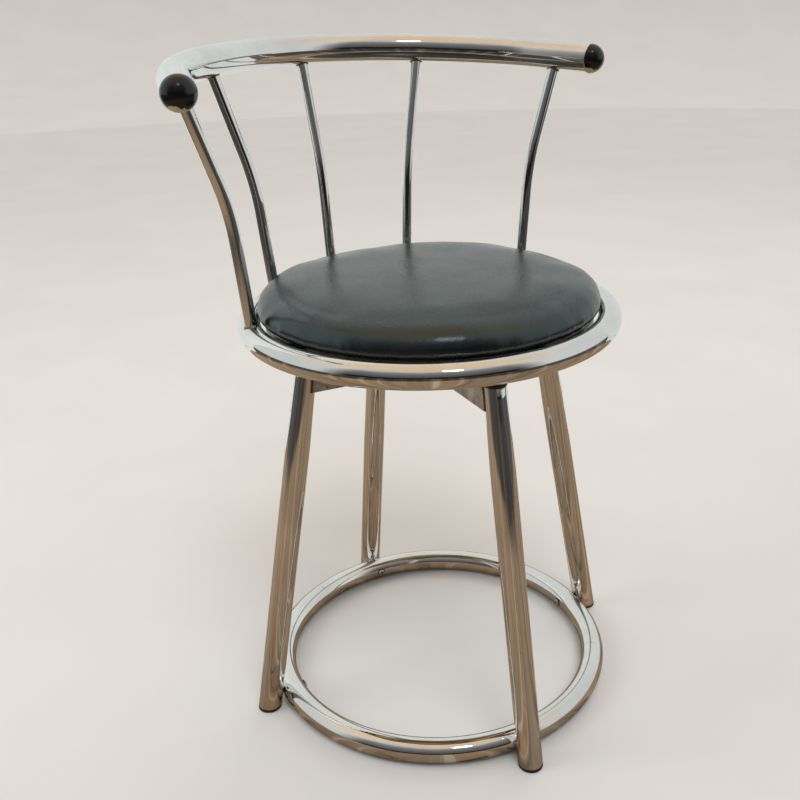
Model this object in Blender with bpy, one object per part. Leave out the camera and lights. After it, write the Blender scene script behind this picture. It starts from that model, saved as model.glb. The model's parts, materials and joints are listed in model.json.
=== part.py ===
"""Swivel stool with a low curved back: bent chrome tube, a round padded seat and a ball-bearing swivel.

Metres, +Z up. The origin is on the floor, on the swivel axis. The seat faces -Y at rest, and the base
stands turned a few degrees under it, as a free-turning seat leaves it. Azimuths run clockwise from +Y,
seen from above.
"""

import math

import bmesh
import bpy
from mathutils import Vector

# Tube and rod stock
TUBE_RADIUS = 0.0125
TUBE_WALL = 0.0015
RAIL_RADIUS = 0.016
SPINDLE_RADIUS = 0.00625
TOUCH = 0.0003

# Base: four leaning legs
BASE_TURN = math.radians(11.7)
LEG_COUNT = 4
LEG_SPREAD_FLOOR = 0.2095
LEG_SPREAD_TOP = 0.1382
LEG_TOP = 0.3915
LEG_NECK_RADIUS = 0.0110
LEG_NECK_LENGTH = 0.100
PLUG_FLANGE = 0.0032
PLUG_STEM_TOP = 0.0105
CAP_LIP_RADIUS = 0.0118
CAP_HEIGHT = 0.0046

# Foot ring and its screws
FOOT_RING_HEIGHT = 0.0142
SCREW_HEAD_RADIUS = 0.0042
SCREW_HEAD_HEIGHT = 0.0024
SCREW_SHANK_RADIUS = 0.0020
SCREW_HOLE_RADIUS = 0.0024

# Cross under the seat: one long channel and two short ones
ARM_WIDTH = 0.021
ARM_BOTTOM = 0.3655
ARM_TOP = 0.3912
ARM_SETBACK = 0.002
SHEET = 0.002
LEG_COPE = 0.0003

# Ball-bearing swivel
PLATE_SIDE = 0.120
BASE_PLATE_SIDE = 0.130
BASE_PLATE_THICKNESS = 0.003
PLATE_THICKNESS = 0.002
PLATE_CORNER = 0.008
BOLT_OFFSET = 0.048
BOLT_RADIUS = 0.0025
BOLT_HOLE_RADIUS = 0.0029
HEX_RADIUS = 0.0046
HEX_HEIGHT = 0.0030
RACE_RADIUS = 0.050
RACE_HALF_WIDTH = 0.006
RACE_HEIGHT = 0.0050
GROOVE_RADIUS = 0.0036
BALL_RADIUS = 0.003175
BALL_COUNT = 8
BALL_GAP = 0.0013
PIN_RADIUS = 0.0090
PIN_CLEARANCE = 0.0006
PIN_FLANGE_RADIUS = 0.0140
PIN_FLANGE_THICKNESS = 0.0018

# Seat
SEAT_RING_RADIUS = 0.186
SEAT_RING_HEIGHT = 0.4255
SPIDER_THICKNESS = 0.003
SPIDER_ARM_WIDTH = 0.030
SPIDER_HUB_SIDE = 0.128
BOARD_RADIUS = 0.168
BOARD_THICKNESS = 0.012
BOARD_SCREW_SPREAD = 0.120
PAD_RADIUS = 0.1780
PAD_TUCK_RADIUS = 0.1725
PAD_SHOULDER_DEPTH = 0.0240
PAD_SHOULDER_RISE = 0.0200
PAD_TOP = 0.4705

# Back rail: an arc about a point a little ahead of the swivel axis, with straight ends
RAIL_ARC_RADIUS = 0.236
RAIL_ARC_CENTRE_Y = -0.008
RAIL_ARC_HALF_ANGLE = math.radians(68.2)
RAIL_HALF_LENGTH = 0.352
RAIL_HEIGHT = 0.6645
RAIL_SLOPE = 0.080
KNOB_PLUG_LENGTH = 0.018

# Spindles: azimuth on the seat ring, and place along the rail from its middle
SPINDLE_AZIMUTHS = [math.radians(a) for a in (-73.2, -29.4, 0.0, 29.4, 73.2)]
SPINDLE_RAIL_PLACES = (-0.312, -0.1436, 0.0, 0.1436, 0.312)
SPINDLE_BEND_HEIGHT = 0.5525
SPINDLE_BEND_SHARE = 0.24
SPINDLE_BEND_LENGTH = 0.032

# Facets
TUBE_SIDES = 14
BORE_SIDES = 8
RING_STEPS = 40
ROD_SIDES = 10
HOLE_SIDES = 10
RACE_STEPS = 32
LEG_SIDES = 16
ARC_STEPS = 20

# Heights that follow from the ones above
BASE_PLATE_BOTTOM = ARM_TOP + TOUCH
LOWER_PLATE_BOTTOM = BASE_PLATE_BOTTOM + BASE_PLATE_THICKNESS + TOUCH
LOWER_RACE_BOTTOM = LOWER_PLATE_BOTTOM + PLATE_THICKNESS + TOUCH
LOWER_RACE_TOP = LOWER_RACE_BOTTOM + RACE_HEIGHT
BALL_HEIGHT = LOWER_RACE_TOP + BALL_GAP
UPPER_RACE_TOP = BALL_HEIGHT + BALL_GAP + RACE_HEIGHT
UPPER_PLATE_BOTTOM = UPPER_RACE_TOP + TOUCH
UPPER_PLATE_TOP = UPPER_PLATE_BOTTOM + PLATE_THICKNESS
SPIDER_BOTTOM = UPPER_PLATE_TOP + TOUCH
SPIDER_TOP = SPIDER_BOTTOM + SPIDER_THICKNESS
BOARD_BOTTOM = SPIDER_TOP + TOUCH
BOARD_TOP = BOARD_BOTTOM + BOARD_THICKNESS
PAD_BOTTOM = BOARD_TOP + TOUCH

LEG_LEAN = (LEG_SPREAD_FLOOR - LEG_SPREAD_TOP) / LEG_TOP
LEG_STRETCH = math.hypot(1.0, LEG_LEAN)


def leg_spread(height):
    """Distance from the swivel axis to a leg's own axis at a height."""
    return LEG_SPREAD_FLOOR - LEG_LEAN * height


FOOT_RING_RADIUS = leg_spread(FOOT_RING_HEIGHT) - (2 * TUBE_RADIUS + TOUCH) * LEG_STRETCH
LEG_AZIMUTHS = [BASE_TURN + i * 2 * math.pi / LEG_COUNT for i in range(LEG_COUNT)]


def finish(name, colour, roughness, metallic):
    material = bpy.data.materials.new(name)
    material.use_nodes = True
    shader = material.node_tree.nodes["Principled BSDF"]
    shader.inputs["Base Color"].default_value = (*colour, 1.0)
    shader.inputs["Roughness"].default_value = roughness
    shader.inputs["Metallic"].default_value = metallic
    return material


def polar(radius, azimuth, height):
    return Vector((radius * math.sin(azimuth), radius * math.cos(azimuth), height))


def add_object(name, mesh, material=None, sharp_angle=math.radians(35)):
    mesh.shade_smooth()
    mesh.set_sharp_from_angle(angle=sharp_angle)
    if material is not None:
        mesh.materials.append(material)
    obj = bpy.data.objects.new(name, mesh)
    bpy.context.scene.collection.objects.link(obj)
    return obj


def make_mesh(name, bm):
    bmesh.ops.recalc_face_normals(bm, faces=bm.faces)
    mesh = bpy.data.meshes.new(name)
    bm.to_mesh(mesh)
    bm.free()
    return mesh


def loft(name, sections, loop=False):
    """Skins a list of equal vertex rings, and joins the last to the first or caps both ends."""
    bm = bmesh.new()
    rings = [[bm.verts.new(point) for point in section] for section in sections]
    pairs = list(zip(rings, rings[1:]))
    if loop:
        pairs.append((rings[-1], rings[0]))
    for lower, upper in pairs:
        for i in range(len(lower)):
            j = (i + 1) % len(lower)
            bm.faces.new((lower[i], lower[j], upper[j], upper[i]))
    if not loop:
        bm.faces.new(rings[0])
        bm.faces.new(rings[-1])
    return make_mesh(name, bm)


def turned(name, profile, steps):
    """Turns a closed (radius, height) profile about +Z. Points at radius 0 close the shape on its axis."""
    bm = bmesh.new()
    verts = [bm.verts.new((radius, 0.0, height)) for radius, height in profile]
    edges = [bm.edges.new(pair) for pair in zip(verts, verts[1:])]
    if profile[0][0] > 0:
        edges.append(bm.edges.new((verts[-1], verts[0])))
    bmesh.ops.spin(
        bm,
        geom=verts + edges,
        cent=(0, 0, 0),
        axis=(0, 0, 1),
        angle=2 * math.pi,
        steps=steps,
        use_merge=True,
    )
    bmesh.ops.remove_doubles(bm, verts=bm.verts, dist=1e-6)
    return make_mesh(name, bm)


def circle(centre, across, up, radius, sides):
    """Vertex ring about a centre, in the plane of two unit vectors."""
    angles = [2 * math.pi * i / sides for i in range(sides)]
    return [centre + (across * math.cos(a) + up * math.sin(a)) * radius for a in angles]


def sweep_sections(path, radius, sides, closed=False):
    """Vertex rings square to a path, turned as little as possible from one to the next."""
    count = len(path)
    sections = []
    up = None
    for i, point in enumerate(path):
        before = path[i - 1] if i or closed else path[i]
        after = path[(i + 1) % count] if i + 1 < count or closed else path[i]
        along = (after - before).normalized()
        if up is None:
            up = along.orthogonal() if abs(along.z) > 0.5 else Vector((0, 0, 1))
        up = (up - along * up.dot(along)).normalized()
        sections.append(circle(point, along.cross(up), up, radius, sides))
    return sections


def ring_section(radius, height, bore, sides):
    """Section of a horizontal ring of tube, as (radius, height) points."""
    angles = [2 * math.pi * (i + 0.5) / sides for i in range(sides)]
    return [(radius + bore * math.cos(a), height + bore * math.sin(a)) for a in angles]


def hollow_ring(name, radius, height, material):
    """Ring of tube: an outer skin and the bore inside it, which the holes that are drilled later open."""
    outer = turned(name, ring_section(radius, height, TUBE_RADIUS, TUBE_SIDES), RING_STEPS)
    bore = turned(name, ring_section(radius, height, TUBE_RADIUS - TUBE_WALL, BORE_SIDES), RING_STEPS)
    bore.flip_normals()
    bm = bmesh.new()
    bm.from_mesh(outer)
    bm.from_mesh(bore)
    mesh = bpy.data.meshes.new(name)
    bm.to_mesh(mesh)
    bm.free()
    return add_object(name, mesh, material)


def flat_plate(name, outline, holes, bottom, thickness, material):
    """Plate cut from sheet: an outline, and round holes as (x, y, radius)."""
    curve = bpy.data.curves.new(name, "CURVE")
    curve.dimensions = "2D"
    curve.fill_mode = "BOTH"
    curve.extrude = thickness / 2
    loops = [outline]
    for x, y, radius in holes:
        sides = HOLE_SIDES if radius < 0.02 else RACE_STEPS
        loops.append([(x + a, y + b) for a, b in round_outline(radius / math.cos(math.pi / sides), sides)])
    for points in loops:
        spline = curve.splines.new("POLY")
        spline.points.add(len(points) - 1)
        for point, (x, y) in zip(spline.points, points):
            point.co = (x, y, 0, 1)
        spline.use_cyclic_u = True
    source = bpy.data.objects.new(name, curve)
    mesh = bpy.data.meshes.new_from_object(source)
    bpy.data.objects.remove(source)
    bpy.data.curves.remove(curve)
    bm = bmesh.new()
    bm.from_mesh(mesh)
    bpy.data.meshes.remove(mesh)
    bmesh.ops.remove_doubles(bm, verts=bm.verts, dist=1e-6)
    obj = add_object(name, make_mesh(name, bm), material)
    obj.location.z = bottom + thickness / 2
    return obj


def rounded_square(side, corner, corner_steps=3):
    """Outline of a square with rounded corners, anticlockwise."""
    inset = side / 2 - corner
    points = []
    for quarter in range(4):
        start = quarter * math.pi / 2
        cx = inset * (1 if quarter in (0, 3) else -1)
        cy = inset * (1 if quarter in (0, 1) else -1)
        for step in range(corner_steps + 1):
            a = start + step * math.pi / 2 / corner_steps
            points.append((cx + corner * math.cos(a), cy + corner * math.sin(a)))
    return points


def round_outline(radius, steps):
    return [
        (radius * math.cos(a), radius * math.sin(a)) for a in (2 * math.pi * i / steps for i in range(steps))
    ]


def cut(obj, cutter):
    modifier = obj.modifiers.new("Cut " + cutter.name, "BOOLEAN")
    modifier.object = cutter
    modifier.solver = "EXACT"


def make_cutter(name, mesh):
    obj = bpy.data.objects.new(name, mesh)
    bpy.context.scene.collection.objects.link(obj)
    obj.hide_render = True
    obj.display_type = "WIRE"
    return obj


# Legs


def leg_section(azimuth, height, radius, sides=LEG_SIDES):
    """Level section through a leaning round bar: an ellipse, longer along the lean."""
    centre = polar(leg_spread(height), azimuth, height)
    outward = polar(1.0, azimuth, 0.0)
    sideways = Vector((outward.y, -outward.x, 0.0))
    angles = [2 * math.pi * i / sides for i in range(sides)]
    return [
        centre + outward * (radius * LEG_STRETCH * math.cos(a)) + sideways * (radius * math.sin(a))
        for a in angles
    ]


def leg_radius(height):
    """The tube's outer radius: full up to the neck, then narrowing to the top."""
    into_neck = (height - (LEG_TOP - LEG_NECK_LENGTH)) / LEG_NECK_LENGTH
    return TUBE_RADIUS + (LEG_NECK_RADIUS - TUBE_RADIUS) * max(0.0, into_neck)


def make_leg(index, azimuth, material, screw_cutter):
    heights = [PLUG_FLANGE + TOUCH, LEG_TOP - LEG_NECK_LENGTH, LEG_TOP]
    outside = [leg_section(azimuth, z, leg_radius(z)) for z in heights]
    inside = [leg_section(azimuth, z, leg_radius(z) - TUBE_WALL) for z in reversed(heights)]
    leg = add_object(f"leg_{index}", loft("leg", outside + inside, loop=True), material)
    cut(leg, screw_cutter)


def make_foot_plug(index, azimuth, material):
    stem_radius = TUBE_RADIUS - TUBE_WALL - TOUCH
    rings = [
        (0.0, TUBE_RADIUS - 0.0010),
        (0.0008, TUBE_RADIUS),
        (PLUG_FLANGE, TUBE_RADIUS),
        (PLUG_FLANGE, stem_radius),
        (PLUG_STEM_TOP, stem_radius - 0.0005),
    ]
    sections = [leg_section(azimuth, z, radius) for z, radius in rings]
    add_object(f"foot_plug_{index}", loft("foot_plug", sections), material)


def make_leg_cap(index, azimuth, material):
    stem_radius = LEG_NECK_RADIUS - TUBE_WALL - TOUCH
    seat = LEG_TOP + TOUCH
    rings = [
        (LEG_TOP - 0.012, stem_radius - 0.0006),
        (seat, stem_radius),
        (seat, CAP_LIP_RADIUS),
        (seat + 0.0018, CAP_LIP_RADIUS),
        (seat + 0.0034, CAP_LIP_RADIUS * 0.80),
        (seat + CAP_HEIGHT, CAP_LIP_RADIUS * 0.45),
    ]
    sections = [leg_section(azimuth, z, radius) for z, radius in rings]
    add_object(f"leg_cap_{index}", loft("leg_cap", sections), material)


# Foot ring


def radial_sections(azimuth, height, stations):
    """Vertex rings about a level line that runs out from the axis, from (distance, radius) stations."""
    outward = polar(1.0, azimuth, 0.0)
    sideways = Vector((outward.y, -outward.x, 0.0))
    centre = Vector((0.0, 0.0, height))
    up = Vector((0, 0, 1))
    return [circle(centre + outward * r, sideways, up, radius, ROD_SIDES) for r, radius in stations]


def make_screw_cutter(index, azimuth):
    reach = FOOT_RING_RADIUS + 2 * TUBE_RADIUS - 0.004
    stations = [(FOOT_RING_RADIUS - 2 * TUBE_RADIUS, SCREW_HOLE_RADIUS), (reach, SCREW_HOLE_RADIUS)]
    sections = radial_sections(azimuth, FOOT_RING_HEIGHT, stations)
    return make_cutter(f"screw_hole_{index}", loft("screw_hole", sections))


def make_ring_screw(index, azimuth, material):
    seat = FOOT_RING_RADIUS - TUBE_RADIUS - TOUCH
    face = seat - SCREW_HEAD_HEIGHT
    tip = FOOT_RING_RADIUS + 2 * TUBE_RADIUS - 0.006
    stations = [
        (face, SCREW_HEAD_RADIUS * 0.55),
        (face + SCREW_HEAD_HEIGHT * 0.35, SCREW_HEAD_RADIUS * 0.88),
        (face + SCREW_HEAD_HEIGHT * 0.75, SCREW_HEAD_RADIUS),
        (seat, SCREW_HEAD_RADIUS),
        (seat, SCREW_SHANK_RADIUS),
        (tip - 0.002, SCREW_SHANK_RADIUS),
        (tip, SCREW_SHANK_RADIUS * 0.5),
    ]
    sections = radial_sections(azimuth, FOOT_RING_HEIGHT, stations)
    add_object(f"ring_screw_{index}", loft("ring_screw", sections), material)


# Cross under the seat


def channel_section(position, inner_bottom):
    """Inverted U of folded sheet, square to +Y, as one outline."""
    half = ARM_WIDTH / 2
    inside = half - SHEET
    outline = [
        (-half, ARM_BOTTOM),
        (-half, ARM_TOP),
        (half, ARM_TOP),
        (half, ARM_BOTTOM),
        (inside, ARM_BOTTOM),
        (inside, inner_bottom),
        (-inside, inner_bottom),
        (-inside, ARM_BOTTOM),
    ]
    return [Vector((x, position, z)) for x, z in outline]


def make_channel(name, start, end, azimuth, material, cutters):
    sections = [channel_section(y, ARM_TOP - SHEET) for y in (start, end)]
    channel = add_object(name, loft(name, sections), material, math.radians(20))
    channel.rotation_euler.z = -azimuth
    for cutter in cutters:
        cut(channel, cutter)


def make_leg_cutter(index, azimuth):
    heights = (ARM_BOTTOM - 0.01, LEG_TOP + 0.02)
    sections = [leg_section(azimuth, z, leg_radius(min(z, LEG_TOP)) + LEG_COPE) for z in heights]
    return make_cutter(f"leg_cope_{index}", loft("leg_cope", sections))


def make_cross(material):
    cutters = [make_leg_cutter(i + 1, azimuth) for i, azimuth in enumerate(LEG_AZIMUTHS)]
    reach = leg_spread(ARM_TOP) - ARM_SETBACK
    side = ARM_WIDTH / 2 + TOUCH
    make_channel("cross_channel_long", -reach, reach, BASE_TURN, material, (cutters[0], cutters[2]))
    for name, leg in (("cross_channel_short_1", 1), ("cross_channel_short_2", 3)):
        make_channel(name, side, reach, LEG_AZIMUTHS[leg], material, (cutters[leg],))


# Swivel


def race_profile(bottom, groove_up):
    """Section of a race: a flat ring with a round groove in the face towards the balls."""
    half_mouth = math.sqrt(GROOVE_RADIUS**2 - BALL_GAP**2)
    start = math.atan2(BALL_GAP, half_mouth)
    sweep = math.pi - 2 * start
    groove = []
    for i in range(6):
        a = start + sweep * i / 5
        groove.append((RACE_RADIUS + GROOVE_RADIUS * math.cos(a), GROOVE_RADIUS * math.sin(a) - BALL_GAP))
    outer = RACE_RADIUS + RACE_HALF_WIDTH
    inner = RACE_RADIUS - RACE_HALF_WIDTH
    profile = [(inner, RACE_HEIGHT), (outer, RACE_HEIGHT), (outer, 0.0), *groove, (inner, 0.0)]
    if groove_up:
        return [(r, bottom + RACE_HEIGHT - z) for r, z in profile]
    return [(r, bottom + z) for r, z in profile]


def hex_ring(radius, height):
    """Twelve points of a hexagon: its corners and the middles of its sides."""
    apothem = radius * math.cos(math.pi / 6)
    points = []
    for i in range(12):
        a = 2 * math.pi * i / 12
        r = radius if i % 2 == 0 else apothem
        points.append(Vector((r * math.cos(a), r * math.sin(a), height)))
    return points


def make_bolt(name, x, y, head_bottom, nut, tip, turn, material):
    """Hexagon bolt whose shank runs from its head to a tip height, with a nut between two heights or None."""

    def shank(z):
        return circle(Vector((0, 0, z)), Vector((1, 0, 0)), Vector((0, 1, 0)), BOLT_RADIUS, 12)

    head_top = head_bottom + HEX_HEIGHT
    outer, inner = (head_top, head_bottom) if tip < head_bottom else (head_bottom, head_top)
    sections = [hex_ring(HEX_RADIUS, outer), hex_ring(HEX_RADIUS, inner), shank(inner)]
    if nut:
        far, near = nut
        sections += [shank(near), hex_ring(HEX_RADIUS, near), hex_ring(HEX_RADIUS, far), shank(far)]
    sections.append(shank(tip))
    bolt = add_object(name, loft(name, sections), material)
    bolt.rotation_euler.z = -turn
    bolt.location = (
        x * math.cos(turn) + y * math.sin(turn),
        -x * math.sin(turn) + y * math.cos(turn),
        0.0,
    )


CORNERS = [(BOLT_OFFSET * sx, BOLT_OFFSET * sy) for sx, sy in ((1, 1), (-1, 1), (-1, -1), (1, -1))]
QUARTERS = ((1, 0), (0, 1), (-1, 0), (0, -1))


def make_swivel_base(steel, fastener):
    """The fixed half: a plate on the cross, the lower bearing plate and its race, the pin and the bolts."""
    corner_holes = [(x, y, BOLT_HOLE_RADIUS) for x, y in CORNERS]
    pin_room = PIN_FLANGE_RADIUS + 0.002
    base_holes = corner_holes + [(0, 0, pin_room)]
    base_outline = rounded_square(BASE_PLATE_SIDE, PLATE_CORNER)
    plate = flat_plate("base_plate", base_outline, base_holes, BASE_PLATE_BOTTOM, BASE_PLATE_THICKNESS, steel)
    plate.rotation_euler.z = -BASE_TURN
    holes = corner_holes + [(0, 0, PIN_RADIUS + TOUCH)]
    outline = rounded_square(PLATE_SIDE, PLATE_CORNER)
    lower = flat_plate("swivel_lower_plate", outline, holes, LOWER_PLATE_BOTTOM, PLATE_THICKNESS, steel)
    lower.rotation_euler.z = -BASE_TURN
    add_object("lower_race", turned("lower_race", race_profile(LOWER_RACE_BOTTOM, True), RACE_STEPS), steel)
    low_flange_top = LOWER_PLATE_BOTTOM - TOUCH
    high_flange_bottom = UPPER_PLATE_TOP + TOUCH
    pin_profile = [
        (0.0, low_flange_top - PIN_FLANGE_THICKNESS),
        (PIN_FLANGE_RADIUS, low_flange_top - PIN_FLANGE_THICKNESS),
        (PIN_FLANGE_RADIUS, low_flange_top),
        (PIN_RADIUS, low_flange_top),
        (PIN_RADIUS, high_flange_bottom),
        (PIN_FLANGE_RADIUS, high_flange_bottom),
        (PIN_FLANGE_RADIUS, high_flange_bottom + PIN_FLANGE_THICKNESS),
        (0.0, high_flange_bottom + PIN_FLANGE_THICKNESS),
    ]
    add_object("swivel_pin", turned("swivel_pin", pin_profile, 16), steel)
    head_bottom = LOWER_PLATE_BOTTOM + PLATE_THICKNESS + TOUCH
    nut_top = BASE_PLATE_BOTTOM - TOUCH
    for i, (x, y) in enumerate(CORNERS):
        nut = (nut_top - 0.0035, nut_top)
        tip = nut_top - 0.006
        make_bolt(f"lower_bolt_{i + 1}", x, y, head_bottom, nut, tip, BASE_TURN, fastener)


def make_ball_race(steel, brass):
    cage_thickness = 0.0012
    holes = []
    for i in range(BALL_COUNT):
        a = 2 * math.pi * i / BALL_COUNT
        x, y = RACE_RADIUS * math.cos(a), RACE_RADIUS * math.sin(a)
        holes.append((x, y, BALL_RADIUS + 0.0004))
        bm = bmesh.new()
        bmesh.ops.create_icosphere(bm, subdivisions=2, radius=BALL_RADIUS)
        ball = add_object(f"ball_{i + 1}", make_mesh("ball", bm), steel)
        ball.location = (x, y, BALL_HEIGHT)
    holes.append((0, 0, RACE_RADIUS - 0.0052))
    outline = round_outline(RACE_RADIUS + 0.0052, RACE_STEPS)
    flat_plate("ball_cage", outline, holes, BALL_HEIGHT - cage_thickness / 2, cage_thickness, brass)


def make_swivel_top(steel, fastener):
    """The turning half: the upper race and plate, and the bolts up into the seat's spider."""
    race = race_profile(UPPER_RACE_TOP - RACE_HEIGHT, False)
    add_object("upper_race", turned("upper_race", race, RACE_STEPS), steel)
    holes = [(x, y, BOLT_HOLE_RADIUS) for x, y in CORNERS] + [(0, 0, PIN_RADIUS + PIN_CLEARANCE)]
    outline = rounded_square(PLATE_SIDE, PLATE_CORNER)
    flat_plate("swivel_upper_plate", outline, holes, UPPER_PLATE_BOTTOM, PLATE_THICKNESS, steel)
    head_bottom = UPPER_PLATE_BOTTOM - TOUCH - HEX_HEIGHT
    for i, (x, y) in enumerate(CORNERS):
        tip = SPIDER_TOP - 0.0002
        make_bolt(f"upper_bolt_{i + 1}", x, y, head_bottom, None, tip, 0.0, fastener)


# Seat


def spider_outline():
    """Square hub with four arms, along X and Y, anticlockwise."""
    hub = SPIDER_HUB_SIDE / 2
    arm = SPIDER_ARM_WIDTH / 2
    drop = SEAT_RING_HEIGHT - SPIDER_TOP
    ring_side = SEAT_RING_RADIUS - math.sqrt(TUBE_RADIUS**2 - drop**2) - 2 * TOUCH
    reach = math.sqrt(ring_side**2 - arm**2)
    quarter = [(reach, -arm), (reach, arm), (hub, arm), (hub, hub)]
    points = []
    for turn in range(4):
        c, s = round(math.cos(turn * math.pi / 2)), round(math.sin(turn * math.pi / 2))
        points += [(x * c - y * s, x * s + y * c) for x, y in quarter]
    return points


def pad_profile():
    """Half section of the cushion: flat below, tucked inside the ring, a soft shoulder and a low crown."""
    profile = [(0.0, PAD_BOTTOM)]
    profile += [(PAD_TUCK_RADIUS - 0.002, PAD_BOTTOM), (PAD_TUCK_RADIUS, PAD_BOTTOM + 0.0030)]
    profile += [(PAD_TUCK_RADIUS + 0.0020, PAD_BOTTOM + 0.0065), (PAD_RADIUS - 0.0007, PAD_BOTTOM + 0.0115)]
    shoulder_height = PAD_BOTTOM + 0.0165
    for i in range(6):
        a = math.radians(72) * i / 5
        r = PAD_RADIUS - PAD_SHOULDER_DEPTH * (1 - math.cos(a))
        profile.append((r, shoulder_height + PAD_SHOULDER_RISE * math.sin(a)))
    edge_radius, edge_height = profile[-1]
    for i in range(1, 6):
        share = i / 5
        rise = (PAD_TOP - edge_height) * math.sin(math.pi / 2 * share)
        profile.append((edge_radius * (1 - share), edge_height + rise))
    return profile


def make_seat(chrome, steel, wood, vinyl, fastener):
    ring = hollow_ring("seat_ring", SEAT_RING_RADIUS, SEAT_RING_HEIGHT, chrome)
    vent = [Vector((0, 0, SEAT_RING_HEIGHT - 2 * TUBE_RADIUS)), Vector((0, 0, SEAT_RING_HEIGHT))]
    sections = [circle(p, Vector((1, 0, 0)), Vector((0, 1, 0)), 0.002, 10) for p in vent]
    vent_cutter = make_cutter("vent_hole", loft("vent_hole", sections))
    vent_cutter.location = polar(SEAT_RING_RADIUS, math.pi * 0.75, 0.0)
    cut(ring, vent_cutter)

    screw_places = [(BOARD_SCREW_SPREAD * c, BOARD_SCREW_SPREAD * s) for c, s in QUARTERS]
    spider_holes = [(x, y, BOLT_HOLE_RADIUS) for x, y in CORNERS + screw_places]
    spider_holes.append((0, 0, PIN_FLANGE_RADIUS + 0.003))
    flat_plate("seat_spider", spider_outline(), spider_holes, SPIDER_BOTTOM, SPIDER_THICKNESS, steel)

    board_holes = [(x, y, BOLT_HOLE_RADIUS) for x, y in screw_places]
    outline = round_outline(BOARD_RADIUS, RING_STEPS)
    flat_plate("seat_board", outline, board_holes, BOARD_BOTTOM, BOARD_THICKNESS, wood)
    add_object("seat_pad", turned("seat_pad", pad_profile(), RING_STEPS), vinyl)
    head_bottom = SPIDER_BOTTOM - TOUCH - HEX_HEIGHT
    for i, (x, y) in enumerate(screw_places):
        tip = BOARD_TOP - 0.002
        make_bolt(f"board_screw_{i + 1}", x, y, head_bottom, None, tip, 0.0, fastener)


# Back


def rail_point(place):
    """Point on the rail's centre line, at a length along it from its middle."""
    angle = max(-RAIL_ARC_HALF_ANGLE, min(RAIL_ARC_HALF_ANGLE, place / RAIL_ARC_RADIUS))
    beyond = place - RAIL_ARC_RADIUS * angle
    x = RAIL_ARC_RADIUS * math.sin(angle) + beyond * math.cos(angle)
    y = RAIL_ARC_CENTRE_Y + RAIL_ARC_RADIUS * math.cos(angle) - beyond * math.sin(angle)
    return Vector((x, y, RAIL_HEIGHT + RAIL_SLOPE * y))


def rail_path(half_length):
    arc_end = RAIL_ARC_RADIUS * RAIL_ARC_HALF_ANGLE
    places = [arc_end * (2 * i / ARC_STEPS - 1) for i in range(ARC_STEPS + 1)]
    return [rail_point(place) for place in [-half_length, *places, half_length]]


def make_rail(chrome, black):
    path = rail_path(RAIL_HALF_LENGTH - TOUCH)
    outside = sweep_sections(path, RAIL_RADIUS, TUBE_SIDES)
    inside = sweep_sections(path, RAIL_RADIUS - TUBE_WALL, TUBE_SIDES)
    add_object("back_rail", loft("back_rail", outside + inside[::-1], loop=True), chrome)
    plug = (RAIL_RADIUS - TUBE_WALL) * math.cos(math.pi / TUBE_SIDES) - TOUCH
    profile = [(0.0, -KNOB_PLUG_LENGTH), (plug - 0.001, -KNOB_PLUG_LENGTH)]
    profile += [(plug, -KNOB_PLUG_LENGTH + 0.002), (plug, 0.0), (RAIL_RADIUS, 0.0)]
    for i in range(1, 9):
        a = math.pi / 2 * i / 8
        profile.append((RAIL_RADIUS * math.cos(a) if i < 8 else 0.0, RAIL_RADIUS * math.sin(a)))
    for name, side in (("rail_knob_left", -1), ("rail_knob_right", 1)):
        end = rail_point(side * RAIL_HALF_LENGTH)
        along = (end - rail_point(side * (RAIL_HALF_LENGTH - 0.01))).normalized()
        knob = add_object(name, turned(name, profile, 16), black)
        knob.rotation_mode = "QUATERNION"
        knob.rotation_quaternion = Vector((0, 0, 1)).rotation_difference(along)
        knob.location = end


def spindle_path(azimuth, place):
    """Straight up from the ring, a round bend, then leaning out to the rail."""
    foot = polar(SEAT_RING_RADIUS, azimuth, SEAT_RING_HEIGHT)
    head = rail_point(place)
    bend = foot.lerp(head, SPINDLE_BEND_SHARE)
    bend.z = SPINDLE_BEND_HEIGHT
    lower = bend + (foot - bend).normalized() * SPINDLE_BEND_LENGTH
    upper = bend + (head - bend).normalized() * SPINDLE_BEND_LENGTH
    curve = [lower.lerp(bend, t).lerp(bend.lerp(upper, t), t) for t in (i / 6 for i in range(7))]
    return [foot, *curve, head]


def make_spindles(chrome):
    ring = ring_section(SEAT_RING_RADIUS, SEAT_RING_HEIGHT, TUBE_RADIUS + TOUCH, TUBE_SIDES)
    ring_cutter = make_cutter("ring_cope", turned("ring_cope", ring, RING_STEPS))
    rail_sections = sweep_sections(rail_path(RAIL_HALF_LENGTH), RAIL_RADIUS + TOUCH, TUBE_SIDES)
    rail_cutter = make_cutter("rail_cope", loft("rail_cope", rail_sections))
    for i, (azimuth, place) in enumerate(zip(SPINDLE_AZIMUTHS, SPINDLE_RAIL_PLACES)):
        sections = sweep_sections(spindle_path(azimuth, place), SPINDLE_RADIUS, ROD_SIDES)
        spindle = add_object(f"spindle_{i + 1}", loft("spindle", sections), chrome)
        cut(spindle, ring_cutter)
        cut(spindle, rail_cutter)


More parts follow.
